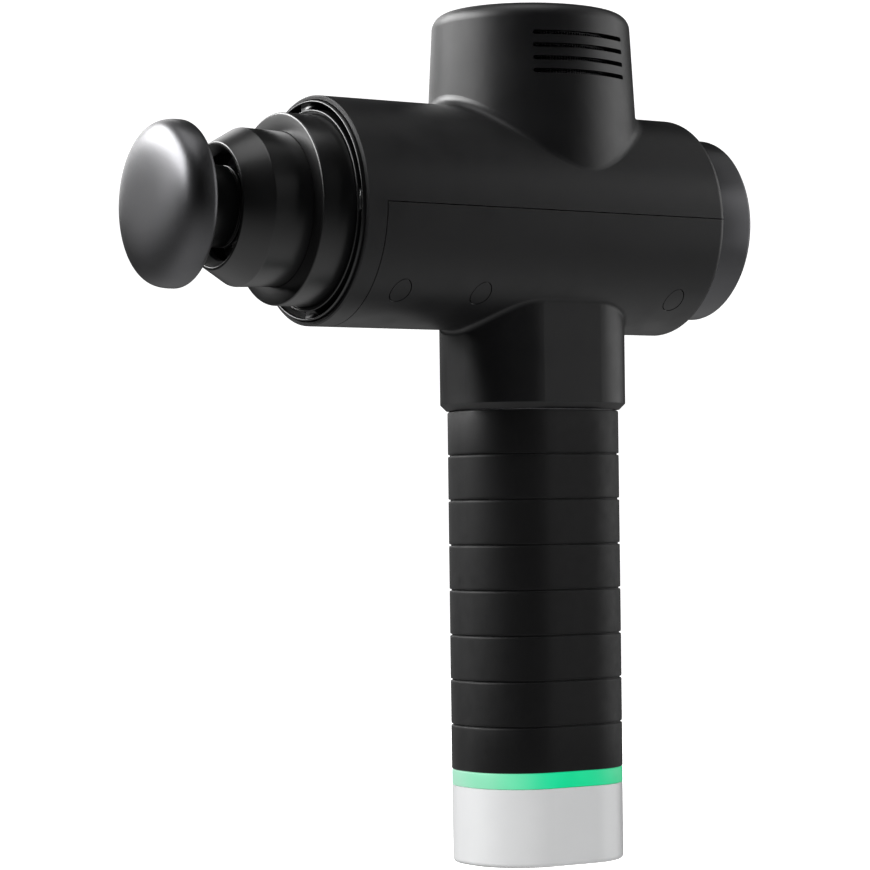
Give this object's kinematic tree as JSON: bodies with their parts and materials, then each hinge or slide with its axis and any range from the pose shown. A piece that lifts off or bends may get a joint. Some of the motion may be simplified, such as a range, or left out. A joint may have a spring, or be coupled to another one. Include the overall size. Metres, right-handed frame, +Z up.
{
  "type": "massage gun",
  "caption": "Cordless percussion massage gun with a round barrel, motor tower, flat-domed head, rear speed dial and ribbed battery handle with a glowing ring.",
  "frame": {"origin": "centre of the base's bottom face, on the handle's axis", "axes": "+Z up along the handle, the nose and head point to -Y, +X is the user's left with the head facing away"},
  "size_m": [0.0626, 0.1812, 0.24],
  "materials": {
    "shell_plastic": "soft-touch charcoal",
    "nose_plastic": "matte black",
    "head_metal": "dark grey anodised, satin",
    "dial_metal": "dark grey anodised, satin",
    "grip_rubber": "black silicone",
    "base_plastic": "light silver grey satin",
    "light_diffuser": "glowing translucent",
    "structure_plastic": "moulded, plain",
    "lens_glass": "gloss black",
    "seal_rubber": "black",
    "steel": "machined",
    "bearing_steel": "polished",
    "motor_alloy": "die cast",
    "bronze": "sintered",
    "winding_copper": "enamelled wire",
    "magnet": "nickel plated",
    "board": "green solder mask",
    "component": "moulded",
    "lamp": "clear",
    "cell_wrap": "shrink wrap",
    "paper": "insulating board",
    "contact_metal": "gold plated"
  },
  "bodies": {
    "housing": {"upper_housing": "shell_plastic", "lower_housing": "shell_plastic", "housing_screws": "steel", "screw_plugs": "shell_plastic", "vent_mesh": "steel", "front_vent_ring": "nose_plastic", "nose_collar": "nose_plastic", "nose_cone": "nose_plastic", "bearing_carrier": "structure_plastic", "guide_bushes": "bronze", "wiper_seal": "seal_rubber", "motor_plate": "motor_alloy", "motor_screws": "steel", "motor_bearings": "bearing_steel", "stator_core": "steel", "stator_windings": "winding_copper", "rear_bulkhead": "structure_plastic", "bulkhead_screws": "steel", "dial_retainer": "steel", "display_lens": "lens_glass", "display_board": "board", "status_leds": "lamp", "main_board": "board", "board_components": "component", "neck_contact_block": "structure_plastic", "neck_contacts": "contact_metal"},
    "dial": {"dial_ring": "dial_metal", "dial_magnets": "magnet"},
    "crank": {"motor_shaft": "steel", "rotor_can": "steel", "rotor_magnets": "magnet", "cooling_fan": "structure_plastic", "crank_disc": "steel", "counterweight": "steel", "crank_pin": "bearing_steel"},
    "conrod": {"connecting_rod": "motor_alloy", "big_end_bearing": "bearing_steel", "small_end_bush": "bronze", "wrist_pin": "bearing_steel"},
    "piston": {"piston": "steel", "socket_liner": "structure_plastic"},
    "head": {"massage_head": "head_metal", "head_hub": "nose_plastic", "head_stem": "steel", "stem_o_rings": "seal_rubber"},
    "battery": {"battery_tube": "structure_plastic", "grip_sleeve": "grip_rubber", "light_ring": "light_diffuser", "base_cap": "base_plastic", "base_screws": "steel", "battery_cells": "cell_wrap", "cell_insulators": "paper", "nickel_strips": "bearing_steel", "battery_board": "board", "battery_contacts": "contact_metal", "switch_housing": "structure_plastic", "charge_jack": "structure_plastic", "jack_pin": "contact_metal"},
    "rocker": {"power_rocker": "nose_plastic"}
  },
  "joints": [
    {"name": "dial_turn", "type": "hinge", "parent": "housing", "child": "dial", "pos_m": [0, 0.0525, 0.1813], "axis": [0, 1, 0], "range_deg": [0, 150]},
    {"name": "crank_turn", "type": "hinge", "parent": "housing", "child": "crank", "pos_m": [0, 0, 0.19], "axis": [0, 0, 1], "range_deg": [0, 180]},
    {"name": "rod_swing", "type": "hinge", "parent": "crank", "child": "conrod", "pos_m": [0, 0.006, 0.1813], "axis": [0, 0, 1], "range_deg": [-180, 0]},
    {"name": "piston_slide", "type": "slide", "parent": "housing", "child": "piston", "axis": [0, -1, 0], "range_m": [0, 0.012]},
    {"name": "head_pull", "type": "slide", "parent": "piston", "child": "head", "axis": [0, -1, 0], "range_m": [0, 0.03]},
    {"name": "battery_pull", "type": "slide", "parent": "housing", "child": "battery", "axis": [0, 0, -1], "range_m": [0, 0.04]},
    {"name": "rocker_tip", "type": "hinge", "parent": "battery", "child": "rocker", "pos_m": [0, 0.01, 0.0046], "axis": [0, 1, 0], "range_deg": [0, 16]}
  ],
  "couplings": [
    {"joint": "rod_swing", "follows": "crank_turn", "ratio": -1},
    {"joint": "piston_slide", "follows": "crank_turn", "m_per_rad": 0.0038197}
  ]
}
